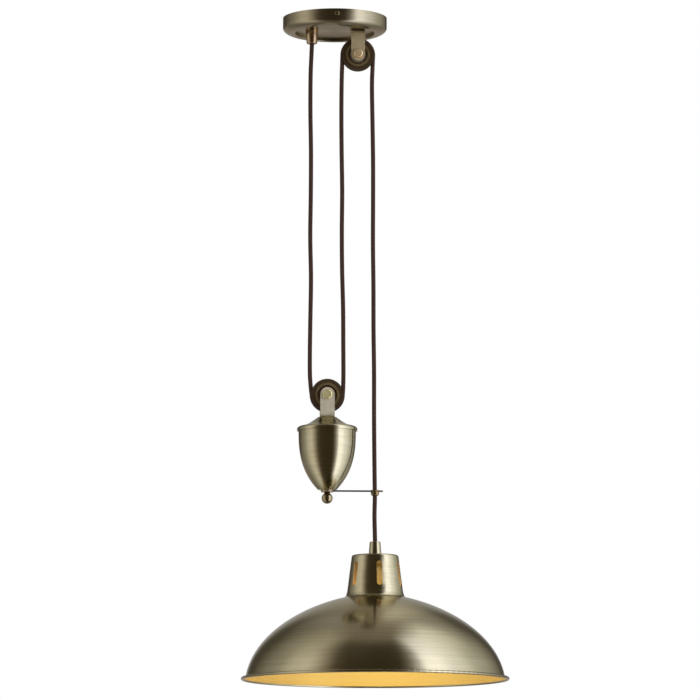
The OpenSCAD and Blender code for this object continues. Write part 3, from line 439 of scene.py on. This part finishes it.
BRASS = (0.43, 0.385, 0.25, 1)
BRASS_DEEP = (0.35, 0.30, 0.18, 1)
EDGE_TINT = (0.84, 0.78, 0.66, 1)     # what is left of a reflection at a grazing angle
GOLD = (0.96, 0.69, 0.19, 1)
GOLD_DEEP = (0.92, 0.61, 0.14, 1)
NECK_GOLD = (0.68, 0.48, 0.22, 1)
COLLAR_BRASS = (0.34, 0.27, 0.15, 1)
BRONZE = (0.135, 0.086, 0.042, 1)
BRONZE_DEEP = (0.07, 0.044, 0.021, 1)
BRONZE_RUBBED = (0.30, 0.225, 0.10, 1)
BRAID = (0.125, 0.064, 0.045, 1)
BRAID_DARK = (0.074, 0.036, 0.025, 1)
# painted shade in the gaps between the strands
BRAID_GAP_SHADE = (0.018, 0.010, 0.008, 1)
CORE_BROWN = (0.16, 0.07, 0.03, 1)
CORE_BLUE = (0.05, 0.12, 0.36, 1)
PEARL = (1.0, 0.98, 0.93, 1)
PEARL_DARK = (0.96, 0.93, 0.86, 1)
LAMPLIGHT = (1.0, 0.86, 0.60, 1)
WHITE = (1, 1, 1, 1)

# Where a fade starts and ends: distances from an axis, and then heights and places along Y
COLLAR = (9.5 * MM, 9 * MM)                # the brass collar at the guide arm's root
PULLEY_RING_IN = (13.4 * MM, 14.6 * MM)    # the raised ring on a pulley's side
PULLEY_RING_OUT = (18.2 * MM, 16.6 * MM)
# the edge of the hub's painted tone, a painted reflection on the ceiling pulley
PAINTED_HUB_FADE = (11.6 * MM, 10.8 * MM)
NECK_INSIDE = (NECK_Z - 15 * MM, NECK_Z + 5 * MM)
CORE_SIDES = (-0.8 * MM, 0.8 * MM)


def brushed_brass(name, axis_x, sign, colour=BRASS, deep=BRASS_DEEP, roughness=0.17,
                  anisotropic=0.88):
    """Antique brass plate, brushed round an upright axis and lacquered."""
    material, tree, shader = new_material(name)
    place = turned_place(tree, axis_x)
    fine = streaks(tree, place, sign, per_turn=1.1, per_metre=1500.0)
    broad = streaks(tree, place, sign, per_turn=0.7, per_metre=260.0)
    both = maths(tree, "ADD", maths(tree, "MULTIPLY", fine, 0.6),
                 maths(tree, "MULTIPLY", broad, 0.4))
    tangent = add_node(tree, "ShaderNodeTangent", {}, direction_type="RADIAL", axis="Z")
    set_inputs(tree, shader, {
        "Base Color": mix_colour(tree, fade(tree, both, *STREAK_SPAN), deep, colour),
        "Roughness": vary(tree, fine, roughness, less=0.03, more=0.04),
        "Metallic": 1,
        "Anisotropic": anisotropic,
        "Anisotropic Rotation": 0.25,
        "Specular Tint": EDGE_TINT,
        "Coat Weight": 0.1,
        "Coat Roughness": 0.06,
        "Tangent": tangent.outputs[0],
    })
    bump(tree, shader, fine, strength=0.04, distance=0.1 * MM)
    return material


def plain_metal(name, colour, deep, roughness, metallic=1.0, scale=240.0, ball=None):
    """A turned or plated metal with a faint clouding, less metallic where it is frosted.

    A ball is given by its centre's x and z, and gets its true normal."""
    material, tree, shader = new_material(name)
    noise = cloud(tree, scale)
    set_inputs(tree, shader, {
        "Base Color": mix_colour(tree, fade(tree, noise, *CLOUD_SPAN), deep, colour),
        "Roughness": vary(tree, noise, roughness, less=0.06, more=0.06),
        "Metallic": metallic,
    })
    normal = ball and round_normal(tree, turned_place(tree, ball[0]), 0.0, ball[1])
    bump(tree, shader, noise, strength=0.05, distance=0.3 * MM, normal=normal)
    return material


def rod_material():
    """The guide arm: a dark rod on a brass collar round the weight's axis."""
    material = plain_metal(
        "dark_rod", (0.055, 0.045, 0.038, 1), (0.035, 0.03, 0.025, 1), 0.35, 0.6)
    tree = material.node_tree
    base = tree.nodes["Principled BSDF"].inputs["Base Color"]
    x = split_xyz(tree, position(tree))["X"]
    collar = fade(tree, x, *(WEIGHT_X + end for end in COLLAR))
    tree.links.new(mix_colour(tree, collar, base.links[0].from_socket, COLLAR_BRASS), base)
    return material


def moulded(name, colour, roughness, metallic=0.0):
    """Moulded plastic, cast iron or cloth: one colour with a fine grain."""
    material, tree, shader = new_material(name)
    noise = cloud(tree, 900.0)
    darker = tuple(c * 0.8 for c in colour[:3]) + (1,)
    set_inputs(tree, shader, {
        "Base Color": mix_colour(tree, noise, darker, colour),
        "Roughness": vary(tree, noise, roughness, less=0.04, more=0.04),
        "Metallic": metallic,
    })
    bump(tree, shader, noise, strength=0.06, distance=0.2 * MM)
    return material


def braid_material():
    """Brown braid: two sets of strands that wind both ways round the flex, with painted shade
    between them.
    """
    strands = 8
    slant = 0.9                      # how steeply they wind, where 1 is 45 degrees
    lay = strands / FLEX_R * slant   # radians of pattern for each metre along the flex
    material, tree, shader = new_material("braided_flex")
    attribute = add_node(tree, "ShaderNodeAttribute", {}, attribute_name="braid")
    xyz = split_xyz(tree, attribute.outputs["Vector"])
    angle = maths(tree, "ARCTAN2", xyz["Y"], xyz["X"])
    turn = maths(tree, "MULTIPLY", angle, float(strands))
    along = maths(tree, "MULTIPLY", xyz["Z"], lay)
    one = maths(tree, "SINE", maths(tree, "ADD", turn, along))
    other = maths(tree, "SINE", maths(tree, "SUBTRACT", turn, along))
    height = fade(tree, maths(tree, "ABSOLUTE", maths(tree, "ADD", one, other)), 0.0, 1.8)
    brown = mix_colour(tree, cloud(tree, 60.0), BRAID_DARK, BRAID)
    set_inputs(tree, shader, {
        # Painted shade: the colour turns near black where the strands dip, in the gaps between
        # them
        "Base Color": mix_colour(tree, height, BRAID_GAP_SHADE, brown),
        "Roughness": 0.72,
        "Specular IOR Level": 0.15,
    })
    bump(tree, shader, height, strength=0.6, distance=0.3 * MM)
    return material


def pulley_material(name, centre, painted_hub_tone):
    """Dark bronzed brass, rubbed bright on its raised rings, and a tone painted on its hub."""
    material, tree, shader = new_material(name)
    place = turned_place(tree, *centre)
    fine = streaks(tree, place, 1.0, per_metre=1400.0)
    r = place[2]
    ring = maths(tree, "MULTIPLY", fade(tree, r, *PULLEY_RING_IN),
                 fade(tree, r, *PULLEY_RING_OUT))
    broken_up = map_range(tree, fine, 0.3, 0.65, 0.35, 1.0)
    rubbed = maths(tree, "MULTIPLY", ring, broken_up)
    dark = mix_colour(tree, fine, BRONZE_DEEP, BRONZE)
    # Painted light: inside the hub the colour turns to the given hub tone, a pale painted
    # reflection on the ceiling pulley
    dark = mix_colour(tree, fade(tree, r, *PAINTED_HUB_FADE), dark, painted_hub_tone)
    set_inputs(tree, shader, {
        "Base Color": mix_colour(tree, rubbed, dark, BRONZE_RUBBED),
        "Roughness": vary(tree, fine, 0.41, less=0.07, more=0.07),
        "Metallic": 0.7,
    })
    bump(tree, shader, fine, strength=0.08, distance=0.3 * MM)
    return material


def shade_material():
    """Brushed antique brass outside, with a smooth rim bead, and warm gold inside."""
    material = brushed_brass("antique_brass_shade", SHADE_X, -1.0)
    tree = material.node_tree
    outside = tree.nodes["Principled BSDF"]
    place = turned_place(tree, SHADE_X)
    ux, uy, r, height = place

    inside = tree.nodes.new("ShaderNodeBsdfPrincipled")
    gold = mix_colour(tree, streaks(tree, place, -1.0, per_metre=500.0), GOLD_DEEP, GOLD)
    neck = fade(tree, height, *NECK_INSIDE)
    set_inputs(tree, inside, {
        "Base Color": mix_colour(tree, neck, gold, NECK_GOLD),
        "Roughness": 0.4,
        "Metallic": 0.06,
        "Specular IOR Level": 0.25,
    })

    bead = maths(tree, "GREATER_THAN", r, WALL_R)
    geometry = add_node(tree, "ShaderNodeNewGeometry", {}).outputs
    smooth = mix_vector(tree, bead, geometry["Normal"],
                        round_normal(tree, place, RIM_R - BEAD_R, BEAD_Z))
    tree.links.new(smooth, next(n for n in tree.nodes if n.type == "BUMP").inputs["Normal"])

    normal = split_xyz(tree, geometry["True Normal"])
    outward = maths(tree, "ADD", maths(tree, "MULTIPLY", ux, normal["X"]),
                    maths(tree, "MULTIPLY", uy, normal["Y"]))
    outward = maths(tree, "ADD", outward, normal["Z"])
    faces_out = maths(tree, "MAXIMUM", bead, maths(tree, "GREATER_THAN", outward, 0.0))
    mixed = add_node(tree, "ShaderNodeMixShader", {
        0: faces_out, 1: inside.outputs[0], 2: outside.outputs[0]})
    output = next(n for n in tree.nodes if n.type == "OUTPUT_MATERIAL")
    tree.links.new(mixed.outputs[0], output.inputs["Surface"])
    return material


def glass_material():
    """A pearl bulb, lit."""
    material, tree, shader = new_material("pearl_glass")
    set_inputs(tree, shader, {
        "Base Color": mix_colour(tree, cloud(tree, 30.0), PEARL_DARK, PEARL),
        "Roughness": 0.25,
        "Emission Color": LAMPLIGHT,
        "Emission Strength": 3.0,
    })
    return material


def cores_material():
    """The sleeves of the bared cores, from brown at the front to blue at the back."""
    material, tree, shader = new_material("core_sleeve")
    y = split_xyz(tree, position(tree))["Y"]
    set_inputs(tree, shader, {
        "Base Color": mix_colour(tree, fade(tree, y, *CORE_SIDES), CORE_BROWN, CORE_BLUE),
        "Roughness": 0.4,
    })
    return material


# ---------------------------------------------------------------- painting

# Name, colour, deeper colour, roughness, share of metal, and the CAD nodes
PLAIN_METALS = [
    ("satin_brass", (0.70, 0.64, 0.49, 1), (0.61, 0.55, 0.41, 1), 0.5, 0.45, ["weight_fork"]),
    ("satin_brass_warm", (0.60, 0.49, 0.30, 1), (0.51, 0.41, 0.24, 1), 0.5, 0.55,
     ["ceiling_fork"]),
    ("nut_brass", (0.76, 0.68, 0.36, 1), (0.62, 0.54, 0.26, 1), 0.32, 0.6,
     ["weight_axle_caps"]),
    ("nut_brass_warm", (0.72, 0.53, 0.31, 1), (0.6, 0.42, 0.22, 1), 0.32, 0.6,
     ["ceiling_axle_caps"]),
    ("screw_brass", (0.30, 0.24, 0.12, 1), (0.2, 0.15, 0.07, 1), 0.35, 1.0,
     ["cup_screws", "earth_screw"]),
    ("ring_brass", (0.30, 0.22, 0.10, 1), (0.10, 0.07, 0.04, 1), 0.35, 1.0, ["guide_ring"]),
    ("bush_bronze", (0.5, 0.33, 0.17, 1), (0.36, 0.23, 0.11, 1), 0.3, 1.0,
     ["ceiling_pulley_bush", "weight_pulley_bush"]),
    ("turned_brass", (0.75, 0.58, 0.28, 1), (0.6, 0.45, 0.2, 1), 0.3, 1.0,
     ["ceiling_grip_nipple", "ceiling_grip_nut", "shade_nipple", "lampholder_screw_shell",
      "centre_contact"]),
    ("holder_brass", (0.98, 0.88, 0.42, 1), (0.90, 0.78, 0.34, 1), 0.4, 0.25,
     ["lampholder_cap", "lampholder_body"]),
    ("bulb_nickel", (0.72, 0.71, 0.68, 1), (0.6, 0.59, 0.56, 1), 0.3, 1.0,
     ["bulb_cap", "bulb_contact"]),
]

# Name, colour, roughness, share of metal, and the CAD nodes
MOULDED = [
    ("flex_tail", (0.06, 0.033, 0.024, 1), 0.75, 0.0,
     ["flex_ceiling_tail", "flex_shade_tail"]),
    ("cast_iron", (0.05, 0.05, 0.052, 1), 0.6, 0.6, ["weight_ballast"]),
    ("terminal_white", (0.85, 0.84, 0.79, 1), 0.35, 0.0, ["terminal_block"]),
    ("black_phenolic", (0.02, 0.018, 0.017, 1), 0.4, 0.0, ["lampholder_insert"]),
]

SMOOTH_NODES = [
    "ceiling_cup", "weight_lid", "weight_casing", "weight_finial", "shade_shell",
    "ceiling_grip", "shade_grip", "ceiling_pulley", "weight_pulley", "guide_ring",
    "guide_arm", "ceiling_axle_caps", "weight_axle_caps",
]
SHARP_ANGLE = 35      # degrees: an edge that turns more stays sharp
WELD_GAP = 0.01 * MM


def paint(piece, material):
    """One material over a whole piece."""
    piece.data.materials.clear()
    piece.data.materials.append(material)


def paint_nodes(material, *names):
    """One material over several CAD nodes."""
    for name in names:
        paint(nodes[name], material)


def paint_flex():
    """The braid, and the cores where it ends."""
    braid = braid_material()
    for piece in flex_pieces:
        paint(piece, braid)
    paint_nodes(cores_material(), "flex_ceiling_cores", "flex_shade_cores")


def paint_brushed():
    """The turned and brushed pieces, each brushed round its own axis."""
    cup = brushed_brass(
        "antique_brass_cup", 0.0, 1.0, colour=(0.33, 0.285, 0.185, 1),
        deep=(0.26, 0.215, 0.13, 1), roughness=0.27, anisotropic=0.75)
    ceiling_grip = brushed_brass(
        "antique_brass_ceiling_grip", GRIP_X, 1.0, colour=(0.42, 0.30, 0.18, 1),
        deep=(0.34, 0.23, 0.13, 1))
    paint_nodes(cup, "ceiling_cup")
    paint_nodes(ceiling_grip, "ceiling_grip")
    paint_nodes(brushed_brass("antique_brass_weight", WEIGHT_X, 1.0),
                "weight_lid", "weight_casing")
    paint_nodes(brushed_brass("antique_brass_shade_grip", SHADE_X, 1.0), "shade_grip")
    paint_nodes(shade_material(), "shade_shell")


def paint_metals():
    """The pulleys, the fittings and the fastenings."""
    for name, colour, deep, roughness, metallic, names in PLAIN_METALS:
        paint_nodes(plain_metal(name, colour, deep, roughness, metallic), *names)
    finial = plain_metal(
        "finial_brass", (0.36, 0.29, 0.17, 1), (0.26, 0.2, 0.11, 1), 0.22,
        ball=(WEIGHT_X, FINIAL_Z))
    paint_nodes(finial, "weight_finial")
    steel = plain_metal(
        "zinc_steel", (0.62, 0.63, 0.64, 1), (0.5, 0.51, 0.52, 1), 0.38, scale=60.0)
    paint_nodes(
        steel, "mounting_strap", "terminal_screws", "ceiling_fork_bolt", "ceiling_fork_nut",
        "ceiling_axle", "weight_axle", "weight_tie_screw", "shade_washer", "shade_nut",
        "lampholder_screws")
    paint_nodes(rod_material(), "guide_arm")
    # The ceiling pulley's pale hub tone is a painted reflection; the weight pulley's hub is
    # painted nearly black
    paint_nodes(
        pulley_material("bronzed_ceiling_pulley", CEILING_PULLEY, (0.36, 0.33, 0.26, 1)),
        "ceiling_pulley")
    paint_nodes(
        pulley_material("bronzed_weight_pulley", WEIGHT_PULLEY, (0.04, 0.027, 0.015, 1)),
        "weight_pulley")


def paint_others():
    """The moulded pieces, the ballast, the flex's tails and the bulb."""
    for name, colour, roughness, metallic, names in MOULDED:
        paint_nodes(moulded(name, colour, roughness, metallic), *names)
    paint_nodes(glass_material(), "bulb_glass")


def soften(piece):
    """Smooth shading over a carried-over CAD form, except at its sharp edges."""
    weld = piece.modifiers.new("weld", "WELD")
    weld.merge_threshold = WELD_GAP
    split = piece.modifiers.new("split", "EDGE_SPLIT")
    split.split_angle = math.radians(SHARP_ANGLE)
    normals = piece.modifiers.new("normals", "WEIGHTED_NORMAL")
    normals.weight = 100


paint_flex()
paint_brushed()
paint_metals()
paint_others()
for smooth_node in SMOOTH_NODES:
    soften(nodes[smooth_node])


# ---------------------------------------------------------------- studio

AMBIENT = 0.6       # the world's strength for rays that don't show it
FLOOR_Z = -7.5      # far enough below that views from underneath stay above it
FLOOR_R = 60        # round, so that its far edge lies level in every view
FLOOR_CORNERS = 96
FLOOR_TONE = (0.86, 0.86, 0.85, 1)
FLOOR_LIFT = 0.45   # brings the floor that the camera sees up to the white behind it


def make_world():
    """White behind the object and in its gloss, and a plain level on everything else."""
    world = bpy.data.worlds.new("studio")
    scene.world = world
    world.use_nodes = True
    tree = world.node_tree
    rays = add_node(tree, "ShaderNodeLightPath", {}).outputs
    seen = maths(tree, "MAXIMUM", rays["Is Camera Ray"], rays["Is Glossy Ray"])
    seen = maths(tree, "MAXIMUM", seen, rays["Is Transmission Ray"])
    set_inputs(tree, tree.nodes["Background"], {
        "Color": WHITE,
        "Strength": map_range(tree, seen, 0.0, 1.0, AMBIENT, 1.0),
    })


def make_floor():
    """A round floor that takes shadow and that reflections don't see."""
    mesh = bpy.data.meshes.new("floor")
    turns = [2 * math.pi * k / FLOOR_CORNERS for k in range(FLOOR_CORNERS)]
    mesh.from_pydata(
        [(FLOOR_R * math.cos(a), FLOOR_R * math.sin(a), FLOOR_Z) for a in turns], [],
        [tuple(range(FLOOR_CORNERS))])
    floor = bpy.data.objects.new("floor", mesh)
    scene.collection.objects.link(floor)
    material, tree, shader = new_material("floor")
    rays = add_node(tree, "ShaderNodeLightPath", {}).outputs
    set_inputs(tree, shader, {
        "Base Color": FLOOR_TONE,
        "Roughness": 0.9,
        "Specular IOR Level": 0.1,
        "Emission Color": WHITE,
        "Emission Strength": maths(tree, "MULTIPLY", rays["Is Camera Ray"], FLOOR_LIFT),
    })
    paint(floor, material)
    floor.visible_glossy = False


# What reflections see round the object: azimuth from the front towards +X, in degrees,
# and the tone there, as tall softboxes with dark flags between them give. The first list
# is for level directions and the second for steep ones, which see the boxes' tops.
TENT_SIDES = [
    (-180, (0.56, 0.58, 0.64)), (-170, (0.52, 0.54, 0.60)), (-160, (0.12, 0.115, 0.11)),
    (-146, (0.12, 0.115, 0.11)), (-134, (0.24, 0.235, 0.22)), (-121, (0.40, 0.40, 0.39)),
    (-102, (0.60, 0.60, 0.58)), (-88, (0.98, 0.97, 0.96)), (-70, (1.16, 1.14, 1.14)),
    (-61, (0.90, 0.86, 0.84)), (-50, (0.44, 0.40, 0.36)), (-41, (0.15, 0.125, 0.095)),
    (-28, (0.085, 0.07, 0.05)), (0, (0.07, 0.056, 0.034)), (22, (0.075, 0.062, 0.042)),
    (31, (0.30, 0.28, 0.26)), (40, (1.00, 1.02, 1.18)), (47, (2.48, 2.62, 3.2)),
    (62, (2.45, 2.58, 3.1)), (74, (1.80, 1.92, 2.3)), (88, (1.50, 1.60, 1.80)),
    (103, (0.98, 1.04, 1.10)), (124, (0.66, 0.69, 0.73)), (140, (0.34, 0.345, 0.35)),
    (152, (0.12, 0.115, 0.11)), (160, (0.13, 0.125, 0.12)), (168, (0.52, 0.54, 0.60)),
    (180, (0.56, 0.58, 0.64)),
]
TENT_TOPS = [
    (-180, (0.36, 0.31, 0.22)), (-170, (0.32, 0.29, 0.24)), (-162, (0.40, 0.39, 0.40)),
    (-153, (0.58, 0.58, 0.64)), (-142, (0.30, 0.30, 0.30)), (-122, (0.50, 0.49, 0.47)),
    (-95, (0.68, 0.67, 0.64)), (-74, (0.66, 0.64, 0.62)), (-60, (0.34, 0.32, 0.29)),
    (-46, (0.13, 0.115, 0.09)), (0, (0.08, 0.07, 0.05)), (28, (0.09, 0.08, 0.06)),
    (40, (0.40, 0.40, 0.42)), (50, (1.7, 1.80, 2.2)), (75, (1.85, 1.95, 2.3)),
    (100, (1.55, 1.62, 1.75)), (118, (1.38, 1.42, 1.50)), (132, (0.66, 0.67, 0.68)),
    (148, (0.45, 0.45, 0.46)), (157, (0.95, 0.94, 0.94)), (166, (1.06, 1.05, 1.04)),
    (173, (0.50, 0.46, 0.40)), (180, (0.36, 0.31, 0.22)),
]
TENT_R = 9.0
TENT_Z = -0.6       # its middle
TENT_TOP = 3.8      # the brightest tone that the ramps can hold
TENT_OVERHEAD = (0.10, 0.092, 0.083, 1)
TENT_UNDERFOOT = (0.085, 0.077, 0.068, 1)
TENT_LOW_BACK = (0.125, 0.118, 0.125, 1)

# Shares of the tent's radius, upwards or backwards, at which a fade starts and ends
STEEP = (0.55, 0.85)            # from the first list of tones to the second
OVERHEAD = (0.90, 0.98)
UNDERFOOT = (-0.85, -0.99)
LOW = (0.02, -0.10)
BACK = (0.5, 0.9)


def tent_ramp(tree, azimuth, tones):
    """A colour ramp over the azimuth, its tones as shares of the brightest."""
    ramp = add_node(tree, "ShaderNodeValToRGB", {0: azimuth})
    stops = ramp.color_ramp.elements
    while len(stops) < len(tones):
        stops.new(0.5)
    for stop, (degrees, tone) in zip(stops, tones):
        stop.position = (degrees + 180) / 360
        stop.color = tuple(c / TENT_TOP for c in tone) + (1,)
    return ramp.outputs["Color"]


def tent_fade(tree, value, band):
    """A fade between two places on the tent, given as shares of its radius."""
    return fade(tree, value, *(share * TENT_R for share in band))


def tent_material():
    """Light that is toned by the direction it comes from."""
    material = bpy.data.materials.new("tent")
    material.use_nodes = True
    tree = material.node_tree
    tree.nodes.clear()
    xyz = split_xyz(tree, position(tree))
    x, y, z = xyz["X"], xyz["Y"], xyz["Z"]
    azimuth = maths(tree, "ARCTAN2", x, maths(tree, "MULTIPLY", y, -1.0))
    azimuth = fade(tree, azimuth, -math.pi, math.pi)
    tone = mix_colour(tree, tent_fade(tree, z, STEEP), tent_ramp(tree, azimuth, TENT_SIDES),
                      tent_ramp(tree, azimuth, TENT_TOPS))
    tone = mix_colour(tree, tent_fade(tree, z, OVERHEAD), tone, TENT_OVERHEAD)
    tone = mix_colour(tree, tent_fade(tree, z, UNDERFOOT), tone, TENT_UNDERFOOT)
    low_back = maths(tree, "MULTIPLY", tent_fade(tree, z, LOW), tent_fade(tree, y, BACK))
    tone = mix_colour(tree, low_back, tone, TENT_LOW_BACK)
    light = add_node(tree, "ShaderNodeEmission", {"Color": tone, "Strength": TENT_TOP})
    add_node(tree, "ShaderNodeOutputMaterial", {"Surface": light.outputs[0]})
    return material


def make_tent():
    """A round tent that only reflections see."""
    mesh = bpy.data.meshes.new("tent")
    bm = bmesh.new()
    bmesh.ops.create_uvsphere(bm, u_segments=64, v_segments=32, radius=TENT_R)
    bm.to_mesh(mesh)
    bm.free()
    tent = bpy.data.objects.new("tent", mesh)
    tent.location = (0, 0, TENT_Z)
    scene.collection.objects.link(tent)
    paint(tent, tent_material())
    tent.visible_camera = False
    tent.visible_diffuse = False
    tent.visible_transmission = False
    tent.visible_shadow = False
    tent.visible_volume_scatter = False


MIDDLE = (0.0, 0.0, -0.5)
MOUTH = (0.085, 0.1, -0.93)   # low on the back wall of the shade's inside
ALL_ROUND = 180               # the spread of a plain softbox

# Name, place, aim, width and height, power in watts, and spread in degrees
LAMPS = [
    ("key", (3.4, -2.0, 0.3), MIDDLE, (1.2, 2.0), 60, ALL_ROUND),
    ("fill", (-3.2, -2.4, 0.0), MIDDLE, (1.6, 2.2), 25, ALL_ROUND),
    ("low", (0.06, -2.4, -1.75), MOUTH, (0.12, 0.12), 0.066, 8),
]


def area_light(name, place, aim, size, power, spread):
    """A softbox that neither the camera nor reflections see."""
    data = bpy.data.lights.new(name, "AREA")
    data.shape = "RECTANGLE"
    data.size, data.size_y = size
    data.energy = power
    data.spread = math.radians(spread)
    light = bpy.data.objects.new(name, data)
    scene.collection.objects.link(light)
    light.location = place
    light.rotation_euler = (Vector(aim) - Vector(place)).to_track_quat("-Z", "Y").to_euler()
    light.visible_camera = False
    light.visible_glossy = False


make_world()
make_floor()
make_tent()
for lamp in LAMPS:
    area_light(*lamp)
scene.view_settings.view_transform = "Standard"
